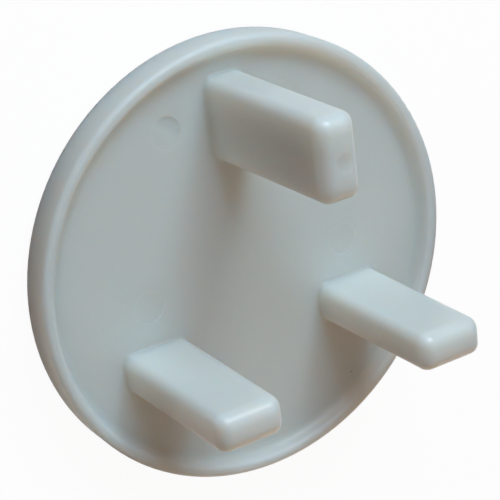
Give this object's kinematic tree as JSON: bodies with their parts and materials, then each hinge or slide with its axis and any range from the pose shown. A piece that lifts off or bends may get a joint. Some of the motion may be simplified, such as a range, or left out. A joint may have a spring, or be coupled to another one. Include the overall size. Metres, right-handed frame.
{
  "type": "outlet safety cover",
  "caption": "Round push-in cover that closes off an unused wall outlet: a dished plate with a rounded rim and solid rectangular pins that fill the socket holes",
  "frame": {"origin": "middle of the plain front face, which the cover lies on here", "axes": "+Z from the front face towards the pin ends, the way the cover is pushed into the socket; +Y towards the earth pin; +X towards the right-hand lower pin as seen from the pin side"},
  "size_m": [0.0445, 0.0444, 0.0222],
  "materials": {
    "socket_cover": "moulded white polypropylene, satin, slightly translucent"
  },
  "bodies": {
    "root": {"socket_cover": "socket_cover"}
  },
  "joints": []
}
